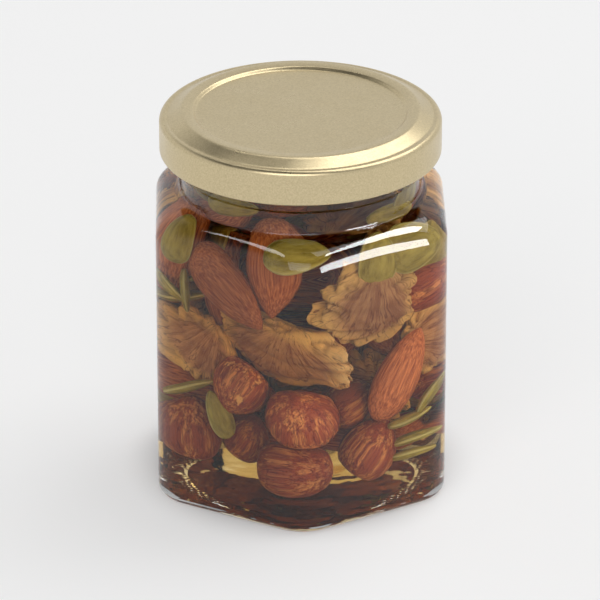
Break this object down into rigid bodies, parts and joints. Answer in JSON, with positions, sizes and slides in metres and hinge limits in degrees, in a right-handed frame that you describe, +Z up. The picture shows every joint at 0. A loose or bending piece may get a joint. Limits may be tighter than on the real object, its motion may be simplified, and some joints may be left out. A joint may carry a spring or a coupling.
{
  "type": "honey jar",
  "caption": "Six-sided clear glass jar of amber honey with whole nuts and seeds, shut with a round gold twist-off lid.",
  "frame": {"origin": "centre of the base, on the surface that the jar stands on", "axes": "+Z up along the jar's axis; +X across two flat sides; one upright corner of the glass faces -Y"},
  "size_m": [0.068, 0.075, 0.0925],
  "materials": {
    "jar_glass": "clear polished glass",
    "honey": "clear dark amber liquid",
    "lid_gold": "satin gold lacquer on tinplate",
    "almond_skin": "grooved brown almond skin",
    "hazelnut_skin": "streaked red-brown hazelnut skin",
    "walnut_meat": "folded tan walnut meat",
    "seed_skin": "smooth green pumpkin seed skin"
  },
  "bodies": {
    "root": {"jar": "jar_glass", "honey": "honey", "lid": "lid_gold"}
  },
  "joints": []
}
